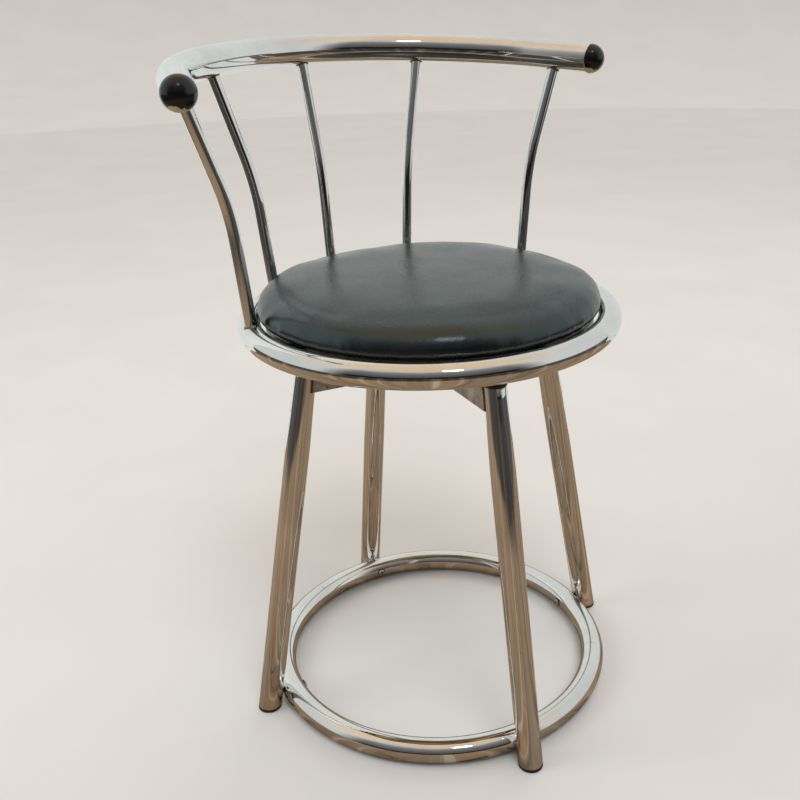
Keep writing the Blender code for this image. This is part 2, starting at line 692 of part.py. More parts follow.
def main():
    for obj in list(bpy.data.objects):
        bpy.data.objects.remove(obj, do_unlink=True)
    chrome = finish("chrome", (0.78, 0.77, 0.75), 0.12, 1.0)
    steel = finish("zinc_steel", (0.50, 0.49, 0.46), 0.45, 1.0)
    fastener = finish("fastener_steel", (0.62, 0.61, 0.58), 0.35, 1.0)
    black = finish("black_plastic", (0.02, 0.02, 0.022), 0.35, 0.0)
    brass = finish("brass_cage", (0.72, 0.55, 0.25), 0.40, 1.0)
    wood = finish("plywood", (0.55, 0.40, 0.24), 0.70, 0.0)
    vinyl = finish("black_vinyl", (0.022, 0.023, 0.025), 0.38, 0.0)

    foot_ring = hollow_ring("foot_ring", FOOT_RING_RADIUS, FOOT_RING_HEIGHT, chrome)
    for i, azimuth in enumerate(LEG_AZIMUTHS, start=1):
        hole = make_screw_cutter(i, azimuth)
        cut(foot_ring, hole)
        make_leg(i, azimuth, chrome, hole)
        make_foot_plug(i, azimuth, black)
        make_leg_cap(i, azimuth, black)
        make_ring_screw(i, azimuth, fastener)
    make_cross(steel)
    make_swivel_base(steel, fastener)
    make_ball_race(steel, brass)
    make_swivel_top(steel, fastener)
    make_seat(chrome, steel, wood, vinyl, fastener)
    make_rail(chrome, black)
    make_spindles(chrome)


main()
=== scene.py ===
"""Looks for the chrome swivel stool: fine surfaces, cushion, materials, floor, light and camera."""

import json
import math

import bmesh
import bpy
import numpy as np
from mathutils import Matrix, Vector, noise


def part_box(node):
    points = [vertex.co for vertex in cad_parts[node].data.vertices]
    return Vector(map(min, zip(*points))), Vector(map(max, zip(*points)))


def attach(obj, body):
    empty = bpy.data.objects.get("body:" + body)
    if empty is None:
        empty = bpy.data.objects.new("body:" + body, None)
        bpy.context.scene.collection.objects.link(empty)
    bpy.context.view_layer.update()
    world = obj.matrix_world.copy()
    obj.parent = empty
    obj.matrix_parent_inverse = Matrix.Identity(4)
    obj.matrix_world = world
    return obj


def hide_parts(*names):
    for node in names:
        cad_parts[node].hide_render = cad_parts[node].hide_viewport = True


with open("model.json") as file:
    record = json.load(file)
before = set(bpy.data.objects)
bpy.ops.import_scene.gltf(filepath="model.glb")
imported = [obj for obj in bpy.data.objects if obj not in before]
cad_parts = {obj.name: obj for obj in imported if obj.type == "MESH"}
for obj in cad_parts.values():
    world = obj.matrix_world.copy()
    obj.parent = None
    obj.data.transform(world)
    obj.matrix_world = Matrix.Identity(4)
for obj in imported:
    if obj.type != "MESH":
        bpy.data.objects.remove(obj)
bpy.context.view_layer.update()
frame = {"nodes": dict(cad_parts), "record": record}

# Camera, as solved for the photograph's view
CAMERA_PLACE = Vector((-0.5940, -0.7760, 0.7325))
CAMERA_FORWARD = Vector((0.55981, 0.75159, -0.34888))
CAMERA_UP = Vector((0.23356, 0.26085, 0.93670))
CAMERA_LENS = 43.93
CAMERA_SHIFT = (-0.0230, -0.0459)

# Studio
WORLD_STRENGTH = 1.0
KEY_STRENGTH = 0.8
KEY_ANGLE = math.radians(35)
GLINT_STRENGTH = 0.12
GLINT_ANGLE = math.radians(9)
LIGHTS_AIM = Vector((0, 0, 0.35))
FLOOR_RADIUS = 6.0
BACKDROP_RISE = 4.0
BACKDROP_TOP = 7.0
REFLECTED_FLOOR_RADIUS = 9.0
REFLECTED_FLOOR_LIFT = 0.0003
PLANK_WIDTH = 0.19
SKIRTING = (0.078, 0.082, 0.086, 0.090)
WALL_DISTANCE = 0.62
WALL_HALF_WIDTH = 1.4
WALL_HEIGHT = 1.9

# Stock and joints, in metres, as in the CAD model
TUBE_RADIUS = 0.0125
TUBE_WALL = 0.0015
RAIL_RADIUS = 0.016
SPINDLE_RADIUS = 0.00625
SEAT_RING_RADIUS = 0.186
SEAT_RING_HEIGHT = 0.4255
LEG_SPREAD_FLOOR = 0.2095
LEG_SPREAD_TOP = 0.1382
LEG_TOP = 0.3915
LEG_NECK_RADIUS = 0.0110
LEG_NECK_LENGTH = 0.100
FOOT_RING_HEIGHT = 0.0142
PLUG_FLANGE = 0.0032
ARM_WIDTH = 0.021
ARM_BOTTOM = 0.3655
ARM_TOP = 0.3912
ARM_BEND = 0.0030
ARM_SETBACK = 0.002
SHEET = 0.002
GAP = 0.0003
RAIL_ARC_RADIUS = 0.236
RAIL_ARC_CENTRE_Y = -0.008
RAIL_ARC_HALF_ANGLE = math.radians(68.2)
RAIL_HALF_LENGTH = 0.352
RAIL_HEIGHT = 0.6645
RAIL_SLOPE = 0.080
SPINDLE_AZIMUTHS = [math.radians(a) for a in (-73.2, -29.4, 0.0, 29.4, 73.2)]
SPINDLE_RAIL_PLACES = (-0.312, -0.1436, 0.0, 0.1436, 0.312)
SPINDLE_BEND_HEIGHT = 0.5525
SPINDLE_BEND_SHARE = 0.24
SPINDLE_BEND_LENGTH = 0.032
BOARD_RADIUS = 0.168

# Fineness of the meshes
RING_STEPS = 256
RING_SIDES = 40
RAIL_STEPS = 360
RAIL_SIDES = 56
SPINDLE_SIDES = 32
WELD_SIDES = 48
KNOB_ARC_STEPS = 16

# Screws in the foot ring
SCREW_HEAD_RADIUS = 0.0042
SCREW_HEAD_HEIGHT = 0.0024
SCREW_SHANK_RADIUS = 0.0020
RECESS_REACH = 0.0025
RECESS_HALF_WIDTH = 0.0007
RECESS_DEPTH = 0.0011

# Cushion and cover
PAD_CROWN_RADIUS = 0.165
PAD_CROWN_DROP = 0.0045
PAD_SHRINK = 0.988
PAD_VOXEL = 0.0045
PAD_PRESSURE = 4.0
SWELL_FRAMES = 20
MOST_SWELL = 0.006
SWELL_EASING = 45
STAPLE_COUNT = 48
STAPLE_RADIUS = 0.1575
STAPLE_HALF_LENGTH = 0.0055
SPIDER_CLEARANCE = 0.022

LEG_LEAN = (LEG_SPREAD_FLOOR - LEG_SPREAD_TOP) / LEG_TOP
LEG_STRETCH = math.hypot(1.0, LEG_LEAN)
UP = Vector((0, 0, 1))
AWAY = Vector((CAMERA_FORWARD.x, CAMERA_FORWARD.y, 0.0)).normalized()

RECORD = frame["record"]
FEET = sorted(
    (m for m in RECORD["mounts"] if m["name"].startswith("foot_")), key=lambda m: m["name"]
)
LEG_AZIMUTHS = [math.atan2(m["pos_m"][0], m["pos_m"][1]) for m in FEET]


# Camera, floor and light


def make_camera():
    camera = bpy.data.cameras.new("camera")
    camera.lens = CAMERA_LENS
    camera.sensor_width = 36.0
    camera.shift_x, camera.shift_y = CAMERA_SHIFT
    obj = bpy.data.objects.new("camera", camera)
    bpy.context.scene.collection.objects.link(obj)
    back = -CAMERA_FORWARD.normalized()
    right = CAMERA_UP.cross(back).normalized()
    up = back.cross(right)
    turn = Matrix((right, up, back)).transposed()
    obj.matrix_world = Matrix.Translation(CAMERA_PLACE) @ turn.to_4x4()
    bpy.context.scene.camera = obj


class Nodes:
    """Short calls for building one node tree."""

    def __init__(self, tree):
        self.tree = tree

    def add(self, kind, **settings):
        node = self.tree.nodes.new(kind)
        for key, value in settings.items():
            setattr(node, key, value)
        return node

    def link(self, source, target):
        self.tree.links.new(source, target)

    def math(self, operation, a, b=None):
        node = self.add("ShaderNodeMath", operation=operation)
        for socket, value in zip(node.inputs, (a, b)):
            self.put(socket, value)
        return node.outputs[0]

    def put(self, socket, value):
        if value is None:
            return
        if isinstance(value, bpy.types.NodeSocket):
            self.link(value, socket)
        else:
            socket.default_value = value

    def mix(self, share, a, b):
        node = self.add("ShaderNodeMix", data_type="RGBA")
        self.put(node.inputs["Factor"], share)
        self.put(node.inputs["A"], a if isinstance(a, bpy.types.NodeSocket) else (*a, 1.0))
        self.put(node.inputs["B"], b if isinstance(b, bpy.types.NodeSocket) else (*b, 1.0))
        return node.outputs["Result"]

    def span(self, value, low, high, to_low=0.0, to_high=1.0):
        node = self.add("ShaderNodeMapRange", interpolation_type="SMOOTHSTEP")
        for name, number in zip(("Value", "From Min", "From Max", "To Min", "To Max"),
                                (value, low, high, to_low, to_high)):
            self.put(node.inputs[name], number)
        return node.outputs["Result"]

    def noise(self, where, scale, detail=2.0, roughness=0.5, distortion=0.0):
        node = self.add("ShaderNodeTexNoise")
        self.put(node.inputs["Vector"], where)
        node.inputs["Scale"].default_value = scale
        node.inputs["Detail"].default_value = detail
        node.inputs["Roughness"].default_value = roughness
        node.inputs["Distortion"].default_value = distortion
        return node.outputs["Fac"]

    def voronoi(self, where, scale, feature="F1", output="Distance"):
        node = self.add("ShaderNodeTexVoronoi", feature=feature)
        self.put(node.inputs["Vector"], where)
        node.inputs["Scale"].default_value = scale
        return node.outputs[output]

    def stretch(self, where, factors):
        node = self.add("ShaderNodeMapping")
        self.put(node.inputs["Vector"], where)
        node.inputs["Scale"].default_value = factors
        return node.outputs["Vector"]

    def vector(self, operation, a, b=None, output="Vector"):
        node = self.add("ShaderNodeVectorMath", operation=operation)
        self.put(node.inputs[0], a)
        self.put(node.inputs[1], b)
        return node.outputs[output]

    def part(self, vector, letter):
        node = self.add("ShaderNodeSeparateXYZ")
        self.link(vector, node.inputs[0])
        return node.outputs[letter]

    def bump(self, height, distance, strength=1.0, normal=None):
        node = self.add("ShaderNodeBump")
        node.inputs["Strength"].default_value = strength
        node.inputs["Distance"].default_value = distance
        self.put(node.inputs["Height"], height)
        self.put(node.inputs["Normal"], normal)
        return node.outputs["Normal"]

    def ramp(self, value, stops):
        node = self.add("ShaderNodeValToRGB")
        self.put(node.inputs["Fac"], value)
        band = node.color_ramp
        while len(band.elements) < len(stops):
            band.elements.new(0.5)
        for element, (place, colour) in zip(band.elements, stops):
            element.position = place
            element.color = (*colour, 1.0)
        return node.outputs["Color"]


def make_world():
    """A pale room. The camera's side of it is darker, in bands, as the photo's chrome shows it."""
    world = bpy.data.worlds.new("room")
    bpy.context.scene.world = world
    world.use_nodes = True
    world.node_tree.nodes.clear()
    n = Nodes(world.node_tree)
    direction = n.add("ShaderNodeTexCoord").outputs["Generated"]
    lumps = n.noise(n.stretch(direction, (4.0, 4.0, 7.0)), 1.3, 3.0)
    uneven = n.math("MULTIPLY", n.math("SUBTRACT", lumps, 0.5), 0.16)
    height = n.math("ADD", n.part(direction, "Z"), uneven)
    near_room = n.ramp(height, [
        (0.00, (0.012, 0.011, 0.011)),
        (0.13, (0.020, 0.019, 0.019)),
        (0.19, (0.085, 0.083, 0.082)),
        (0.30, (0.105, 0.106, 0.108)),
        (0.50, (0.150, 0.154, 0.158)),
        (0.70, (0.245, 0.245, 0.243)),
        (0.84, (0.560, 0.580, 0.620)),
        (0.91, (0.760, 0.550, 0.370)),
        (1.00, (0.820, 0.570, 0.350)),
    ])
    pale_room = n.ramp(height, [
        (0.00, (0.660, 0.670, 0.660)),
        (0.55, (0.640, 0.680, 0.700)),
        (0.80, (0.740, 0.660, 0.540)),
        (1.00, (0.820, 0.570, 0.350)),
    ])
    level = n.vector("NORMALIZE", n.vector("MULTIPLY", direction, (1.0, 1.0, 0.0)))
    near = n.span(n.vector("DOT_PRODUCT", level, -AWAY, "Value"), 0.35, 0.70)
    background = n.add("ShaderNodeBackground")
    n.link(n.mix(near, pale_room, near_room), background.inputs["Color"])
    background.inputs["Strength"].default_value = WORLD_STRENGTH
    n.link(background.outputs[0], n.add("ShaderNodeOutputWorld").inputs["Surface"])


def add_light(name, light, place):
    obj = bpy.data.objects.new(name, light)
    bpy.context.scene.collection.objects.link(obj)
    obj.location = place
    obj.rotation_euler = (LIGHTS_AIM - place).to_track_quat("-Z", "Y").to_euler()
    return obj


def make_area(name, place, size, power, colour):
    """A soft panel that the chrome doesn't show."""
    light = bpy.data.lights.new(name, "AREA")
    light.shape = "RECTANGLE"
    light.size, light.size_y = size
    light.energy = power
    light.color = colour
    add_light(name, light, place).visible_glossy = False


def make_lights():
    """A broad soft key high behind the camera, a small glint on the chrome, and two weak panels."""
    near = -AWAY
    side = near.cross(UP)
    key = bpy.data.lights.new("key_light", "SUN")
    key.energy = KEY_STRENGTH
    key.angle = KEY_ANGLE
    key.color = (0.96, 0.98, 1.0)
    key_place = near * 1.15 - side * 0.35 + UP * 2.2
    add_light("key_light", key, key_place).visible_glossy = False
    glint = bpy.data.lights.new("glint_light", "SUN")
    glint.energy = GLINT_STRENGTH
    glint.angle = GLINT_ANGLE
    add_light("glint_light", glint, key_place)
    left = near * 0.5 + side * 2.1 + UP * 1.7
    make_area("left_light", left, (1.2, 1.2), 11.0, (1.0, 0.98, 0.95))
    back = near * -1.7 - side * 0.8 + UP * 2.3
    make_area("back_light", back, (1.6, 0.8), 9.0, (1.0, 0.96, 0.90))


def make_stage(name, bm, material, glossy_only):
    """A floor or card of the studio. A glossy-only one shows in reflections alone."""
    mesh = bpy.data.meshes.new(name)
    bm.to_mesh(mesh)
    bm.free()
    mesh.materials.append(material)
    obj = bpy.data.objects.new(name, mesh)
    bpy.context.scene.collection.objects.link(obj)
    if glossy_only:
        obj.visible_camera = False
        obj.visible_diffuse = False
        obj.visible_shadow = False
        obj.visible_transmission = False
    else:
        obj.visible_glossy = False
    return obj


def make_floor():
    """Plain pale floor, clear from below, and a backdrop that curves up from its edge."""
    material, n, shader, where = new_material("pale_floor")
    mottle = n.noise(where, 3.0, 4.0, 0.55)
    tone = n.mix(n.span(mottle, 0.35, 0.65), (0.788, 0.792, 0.800), (0.808, 0.813, 0.822))
    n.link(tone, shader.inputs["Base Color"])
    shader.inputs["Roughness"].default_value = 0.8
    see_through = n.add("ShaderNodeMixShader")
    n.link(n.add("ShaderNodeNewGeometry").outputs["Backfacing"], see_through.inputs["Fac"])
    n.link(shader.outputs[0], see_through.inputs[1])
    n.link(n.add("ShaderNodeBsdfTransparent").outputs[0], see_through.inputs[2])
    n.link(see_through.outputs[0], material.node_tree.nodes["Material Output"].inputs["Surface"])
    bm = bmesh.new()
    bmesh.ops.create_circle(bm, cap_ends=True, segments=96, radius=FLOOR_RADIUS)
    make_stage("floor", bm, material, False)

    bm = bmesh.new()
    rise = BACKDROP_RISE
    curve = [math.pi / 2 * i / 16 for i in range(17)]
    profile = [(FLOOR_RADIUS + rise * math.sin(a), rise * (1 - math.cos(a))) for a in curve]
    spun(bm, [(FLOOR_RADIUS - 0.01, 0.0), *profile, (FLOOR_RADIUS + rise, BACKDROP_TOP)], 96)
    backdrop = make_stage("backdrop", bm, material, False)
    backdrop.visible_diffuse = False
    backdrop.visible_shadow = False
    backdrop.data.shade_smooth()


def make_reflected_floor():
    """What the chrome sees below: brown boards near the stool, with wedges of painted shade and
    painted light round it, and painted shade further off.
    """
    material, n, shader, where = new_material("reflected_boards_painted_shade")
    turned = n.add("ShaderNodeMapping")
    n.link(where, turned.inputs["Vector"])
    turned.inputs["Rotation"].default_value = (0.0, 0.0, math.atan2(AWAY.x, AWAY.y))
    across = turned.outputs["Vector"]
    grain = n.noise(n.stretch(across, (1.2, 9.0, 1.0)), 1.0, 3.0, 0.5, 0.3)
    seam = n.math("FRACT", n.math("MULTIPLY", n.part(across, "Y"), 1 / PLANK_WIDTH))
    seam = n.math("MULTIPLY", n.span(seam, 0.0, 0.03), n.span(seam, 1.0, 0.97))
    boards = n.mix(n.span(grain, 0.30, 0.70), (0.235, 0.145, 0.080), (0.430, 0.285, 0.165))
    boards = n.mix(seam, (0.05, 0.033, 0.02), boards)
    level = n.vector("NORMALIZE", where)
    # Wedges by direction round the stool: the greyish and dark ones are painted shadows across the
    # boards, the pale ones painted light.
    broad = n.noise(level, 2.6, 1.0)
    fine = n.noise(level, 8.0, 3.0, 0.6)
    boards = n.mix(n.span(broad, 0.54, 0.42), boards, (0.270, 0.205, 0.140))
    boards = n.mix(n.span(fine, 0.50, 0.30, 0.0, 0.85), boards, (0.120, 0.095, 0.068))
    boards = n.mix(n.span(fine, 0.54, 0.68, 0.0, 0.85), boards, (0.520, 0.440, 0.340))
    # Further off the boards give way to near black with dark brown streaks: painted shade.
    beyond = n.mix(n.span(fine, 0.50, 0.64), (0.012, 0.011, 0.011), (0.130, 0.110, 0.090))
    distance = n.vector("LENGTH", where, output="Value")
    ragged = n.math("MULTIPLY", n.noise(where, 1.7, 3.0, 0.6), 0.9)
    far_painted_shade_share = n.span(n.math("ADD", distance, ragged), 1.55, 2.10)
    n.link(n.mix(far_painted_shade_share, boards, beyond), shader.inputs["Base Color"])
    shader.inputs["Roughness"].default_value = 0.6
    bm = bmesh.new()
    bmesh.ops.create_circle(bm, cap_ends=True, segments=64, radius=REFLECTED_FLOOR_RADIUS)
    floor = make_stage("reflected_floor", bm, material, True)
    floor.location.z = REFLECTED_FLOOR_LIFT


def make_reflected_wall():
    """What the chrome sees close behind the stool: a pale wall with a line of skirting, glowing
    faintly bluish as painted light.
    """
    material, n, shader, where = new_material("reflected_wall")
    height = n.part(where, "Z")
    low, full, fading, high = SKIRTING
    skirting = n.math("MULTIPLY", n.span(height, low, full), n.span(height, high, fading))
    rough_cast = n.noise(where, 30.0, 4.0, 0.6)
    wall = n.mix(n.span(rough_cast, 0.30, 0.70), (0.80, 0.81, 0.80), (0.90, 0.91, 0.90))
    # A faint bluish glow from the wall itself: painted light.
    shader.inputs["Emission Color"].default_value = (0.78, 0.97, 1.0, 1.0)
    shader.inputs["Emission Strength"].default_value = 0.21
    n.link(n.mix(skirting, wall, (0.28, 0.23, 0.16)), shader.inputs["Base Color"])
    shader.inputs["Roughness"].default_value = 0.8
    bm = bmesh.new()
    side = AWAY.cross(UP) * WALL_HALF_WIDTH
    foot = AWAY * WALL_DISTANCE
    top = foot + UP * WALL_HEIGHT
    bm.faces.new([bm.verts.new(c) for c in (foot - side, foot + side, top + side, top - side)])
    make_stage("reflected_wall", bm, material, True)


# Materials


def new_material(name):
    material = bpy.data.materials.new(name)
    material.use_nodes = True
    n = Nodes(material.node_tree)
    shader = material.node_tree.nodes["Principled BSDF"]
    where = n.add("ShaderNodeTexCoord").outputs["Object"]
    return material, n, shader, where


def chrome_material(name, rust=0.5, haze=0.5):
    """Bright chrome plate: faint haze and wipe marks, fine scratches, and sparse rust pits."""
    material, n, shader, where = new_material(name)
    clouds = n.noise(where, 16.0, 4.0, 0.6)
    fine = n.noise(where, 420.0, 3.0, 0.6)
    scratch = n.noise(n.stretch(where, (900.0, 900.0, 40.0)), 1.0, 2.0, 0.6)
    pit_size = n.noise(where, 34.0, 2.0, 0.5)
    limit = n.span(pit_size, 0.60 - 0.06 * rust, 0.80, 0.0, 0.26)
    pits = n.math("LESS_THAN", n.voronoi(where, 330.0), limit)
    halo = n.span(n.voronoi(where, 300.0), 0.65, 0.15)
    stain = n.math("MULTIPLY", halo, n.span(pit_size, 0.64, 0.84))
    tone = n.mix(n.span(clouds, 0.30, 0.72), (0.88, 0.87, 0.85), (0.79, 0.78, 0.76))
    tone = n.mix(n.math("MULTIPLY", stain, 0.35 * rust), tone, (0.36, 0.22, 0.12))
    n.link(n.mix(pits, tone, (0.10, 0.055, 0.03)), shader.inputs["Base Color"])
    n.link(n.math("SUBTRACT", 1.0, n.math("MULTIPLY", pits, 0.85)), shader.inputs["Metallic"])
    rough = n.span(clouds, 0.35, 0.75, 0.035, 0.035 + 0.10 * haze)
    rough = n.math("ADD", rough, n.span(scratch, 0.55, 0.75, 0.0, 0.05 * haze))
    rough = n.math("ADD", rough, n.math("MULTIPLY", pits, 0.5))
    n.link(rough, shader.inputs["Roughness"])
    ripple = n.noise(where, 26.0, 2.0, 0.5)
    normal = n.bump(ripple, 0.00025, 0.35)
    normal = n.bump(fine, 0.000012, 0.5, normal)
    n.link(n.bump(pits, 0.00008, -0.6, normal), shader.inputs["Normal"])
    return material


def vinyl_material(name):
    """Black upholstery vinyl: fine pebble grain, soft creases and a slight bloom from wear."""
    material, n, shader, where = new_material(name)
    cells = n.voronoi(where, 820.0, "SMOOTH_F1")
    grain = n.noise(where, 560.0, 3.0, 0.6)
    creases = n.noise(n.stretch(where, (60.0, 26.0, 40.0)), 1.0, 3.0, 0.55, 0.8)
    wear = n.noise(where, 13.0, 4.0, 0.62)
    bloom = n.span(wear, 0.42, 0.72)
    marks = n.noise(n.stretch(where, (190.0, 60.0, 120.0)), 1.0, 4.0, 0.7)
    scuff = n.math("GREATER_THAN", marks, 0.70)
    colour = n.mix(bloom, (0.0060, 0.0066, 0.0070), (0.0130, 0.0140, 0.0135))
    colour = n.mix(n.math("MULTIPLY", scuff, 0.4), colour, (0.050, 0.052, 0.052))
    n.link(colour, shader.inputs["Base Color"])
    rough = n.span(wear, 0.30, 0.75, 0.22, 0.32)
    rough = n.math("ADD", rough, n.span(grain, 0.35, 0.70, -0.02, 0.04))
    n.link(n.math("ADD", rough, n.math("MULTIPLY", scuff, 0.12)), shader.inputs["Roughness"])
    shader.inputs["Specular IOR Level"].default_value = 0.95
    # A cyan tint on the vinyl's reflections: a painted bluish sheen.
    shader.inputs["Specular Tint"].default_value = (0.76, 0.96, 1.0, 1.0)
    normal = n.bump(creases, 0.0012, 0.18)
    normal = n.bump(cells, 0.00010, 0.35, normal)
    n.link(n.bump(grain, 0.00005, 0.35, normal), shader.inputs["Normal"])
    return material


def plastic_material(name, colour, roughness):
    """Moulded plastic: fine texture, dust in the hollows and rubbed, shinier high spots."""
    material, n, shader, where = new_material(name)
    dust = n.noise(where, 90.0, 4.0, 0.65)
    texture = n.noise(where, 1500.0, 2.0, 0.6)
    pale = [c + 0.05 for c in colour]
    n.link(n.mix(n.span(dust, 0.50, 0.85, 0.0, 0.6), colour, pale), shader.inputs["Base Color"])
    n.link(n.span(dust, 0.30, 0.75, roughness - 0.08, roughness + 0.16), shader.inputs["Roughness"])
    n.link(n.bump(texture, 0.00003, 0.5), shader.inputs["Normal"])
    return material


def knob_material(name, radius):
    """Black lacquer on a pale core. It has chipped away underneath, with a ragged edge."""
    material, n, shader, where = new_material(name)
    ragged = n.noise(where, 230.0, 5.0, 0.72)
    broad = n.noise(where, 46.0, 2.0, 0.5)
    low = n.math("MULTIPLY", n.part(where, "Z"), -1.0 / radius)
    low = n.math("ADD", low, n.math("MULTIPLY", n.math("SUBTRACT", ragged, 0.5), 0.42))
    low = n.math("ADD", low, n.math("MULTIPLY", n.math("SUBTRACT", broad, 0.5), 1.1))
    chip = n.span(low, 0.69, 0.71)
    rim = n.math("MULTIPLY", n.span(low, 0.63, 0.69), n.math("SUBTRACT", 1.0, chip))
    core = n.mix(n.noise(where, 260.0, 4.0, 0.7), (0.52, 0.40, 0.25), (0.30, 0.21, 0.12))
    black = n.mix(rim, (0.005, 0.005, 0.006), (0.05, 0.04, 0.03))
    n.link(n.mix(chip, black, core), shader.inputs["Base Color"])
    gloss = n.span(n.noise(where, 120.0, 3.0, 0.6), 0.35, 0.75, 0.12, 0.24)
    n.link(n.math("ADD", gloss, n.math("MULTIPLY", chip, 0.45)), shader.inputs["Roughness"])
    normal = n.bump(n.noise(where, 900.0, 2.0), 0.00003, 0.4)
    n.link(n.bump(n.math("SUBTRACT", 1.0, chip), 0.0003, 0.8, normal), shader.inputs["Normal"])
    return material


def zinc_material(name, colour=(0.64, 0.62, 0.55), rough=0.42, rust=0.4):
    """Zinc-plated steel: mottled spangle, fingerprints, dark specks and brown bloom."""
    material, n, shader, where = new_material(name)
    spangle = n.voronoi(where, 170.0, output="Color")
    tint = n.add("ShaderNodeSeparateColor")
    n.link(spangle, tint.inputs[0])
    clouds = n.noise(where, 60.0, 6.0, 0.7)
    stain = n.noise(where, 26.0, 5.0, 0.7, 0.6)
    speck_size = n.span(n.noise(where, 45.0, 2.0), 0.52, 0.72, 0.0, 0.30)
    speck = n.math("LESS_THAN", n.voronoi(where, 260.0), speck_size)
    dark = [c * 0.55 for c in colour]
    pale = [min(1.0, c * 1.22) for c in colour]
    tone = n.mix(n.span(clouds, 0.36, 0.64), dark, pale)
    tone = n.mix(n.math("MULTIPLY", tint.outputs[0], 0.30), tone, dark)
    tone = n.mix(n.span(stain, 0.56, 0.76, 0.0, rust), tone, (0.23, 0.145, 0.08))
    tone = n.mix(n.math("MULTIPLY", speck, min(1.0, 2 * rust)), tone, (0.05, 0.042, 0.035))
    n.link(tone, shader.inputs["Base Color"])
    n.link(n.span(stain, 0.56, 0.76, 0.95, 0.95 - 0.6 * rust), shader.inputs["Metallic"])
    n.link(n.span(clouds, 0.30, 0.75, rough - 0.10, rough + 0.16), shader.inputs["Roughness"])
    normal = n.bump(clouds, 0.0002, 0.45)
    n.link(n.bump(n.noise(where, 900.0, 2.0), 0.00003, 0.5, normal), shader.inputs["Normal"])
    return material


def wood_material(name):
    """Bare plywood: long grain, pale and dark bands, and a rough, fibrous surface."""
    material, n, shader, where = new_material(name)
    rings = n.noise(n.stretch(where, (18.0, 160.0, 160.0)), 1.0, 5.0, 0.6, 0.4)
    fibre = n.noise(n.stretch(where, (60.0, 1500.0, 600.0)), 1.0, 3.0, 0.6)
    tone = n.mix(n.span(rings, 0.32, 0.70), (0.50, 0.34, 0.19), (0.66, 0.50, 0.32))
    tone = n.mix(n.span(fibre, 0.45, 0.80, 0.0, 0.5), tone, (0.30, 0.19, 0.10))
    n.link(tone, shader.inputs["Base Color"])
    n.link(n.span(fibre, 0.30, 0.75, 0.55, 0.80), shader.inputs["Roughness"])
    n.link(n.bump(fibre, 0.0002, 0.5), shader.inputs["Normal"])
    return material


# Mesh helpers


def polar(radius, azimuth, height):
    return Vector((radius * math.sin(azimuth), radius * math.cos(azimuth), height))


def circle(centre, across, up, radius, sides):
    angles = [2 * math.pi * i / sides for i in range(sides)]
    return [centre + (across * math.cos(a) + up * math.sin(a)) * radius for a in angles]


def sweep_sections(path, radii, sides, closed=False):
    """Vertex rings square to a path, turned as little as possible from one to the next."""
    count = len(path)
    if isinstance(radii, float):
        radii = [radii] * count
    sections = []
    up = None
    for i, point in enumerate(path):
        before = path[i - 1] if i or closed else path[i]
        after = path[(i + 1) % count] if i + 1 < count or closed else path[i]
        along = (after - before).normalized()
        if up is None:
            up = along.orthogonal() if abs(along.z) > 0.5 else UP.copy()
        up = (up - along * up.dot(along)).normalized()
        sections.append(circle(point, along.cross(up), up, radii[i], sides))
    return sections


def skin(bm, sections, loop=False, caps=(True, True)):
    rings = [[bm.verts.new(point) for point in section] for section in sections]
    pairs = list(zip(rings, rings[1:]))
    if loop:
        pairs.append((rings[-1], rings[0]))
    for lower, upper in pairs:
        for i in range(len(lower)):
            j = (i + 1) % len(lower)
            bm.faces.new((lower[i], lower[j], upper[j], upper[i]))
    if not loop and caps[0]:
        bm.faces.new(rings[0])
    if not loop and caps[1]:
        bm.faces.new(rings[-1])


def spun(bm, profile, steps):
    """Turns an open (radius, height) profile about +Z."""
    verts = [bm.verts.new((radius, 0.0, height)) for radius, height in profile]
    edges = [bm.edges.new(pair) for pair in zip(verts, verts[1:])]
    bmesh.ops.spin(
        bm, geom=verts + edges, cent=(0, 0, 0), axis=(0, 0, 1),
        angle=2 * math.pi, steps=steps, use_merge=True,
    )
    bmesh.ops.remove_doubles(bm, verts=bm.verts, dist=1e-6)


def piece(name, bm, material, body, replaced=(), sharp=math.radians(40)):
    """Turns a bmesh into a named piece that rides on a body."""
    bmesh.ops.recalc_face_normals(bm, faces=bm.faces)
    mesh = bpy.data.meshes.new(name)
    bm.to_mesh(mesh)
    bm.free()
    mesh.shade_smooth()
    mesh.set_sharp_from_angle(angle=sharp)
    mesh.materials.append(material)
    obj = bpy.data.objects.new(name, mesh)
    bpy.context.scene.collection.objects.link(obj)
    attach(obj, body)
    if replaced:
        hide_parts(*replaced)
    return obj


def cut_away(obj, bm):
    """Cuts one bmesh out of a piece for good."""
    mesh = bpy.data.meshes.new("cutter")
    bmesh.ops.recalc_face_normals(bm, faces=bm.faces)
    bm.to_mesh(mesh)
    bm.free()
    cutter = bpy.data.objects.new("cutter", mesh)
    bpy.context.scene.collection.objects.link(cutter)
    modifier = obj.modifiers.new("cut", "BOOLEAN")
    modifier.object = cutter
    modifier.solver = "EXACT"
    bake(obj)
    bpy.data.objects.remove(cutter)
    bpy.data.meshes.remove(mesh)


def bake(obj):
    """Applies every modifier of a piece."""
    graph = bpy.context.evaluated_depsgraph_get()
    made = bpy.data.meshes.new_from_object(obj.evaluated_get(graph))
    obj.modifiers.clear()
    old = obj.data
    obj.data = made
    bpy.data.meshes.remove(old)


# Tubes


def leg_spread(height):
    return LEG_SPREAD_FLOOR - LEG_LEAN * height


def leg_radius(height):
    into_neck = (height - (LEG_TOP - LEG_NECK_LENGTH)) / LEG_NECK_LENGTH
    into_neck = min(1.0, max(0.0, into_neck))
    eased = into_neck * into_neck * (3 - 2 * into_neck)
    return TUBE_RADIUS + (LEG_NECK_RADIUS - TUBE_RADIUS) * eased


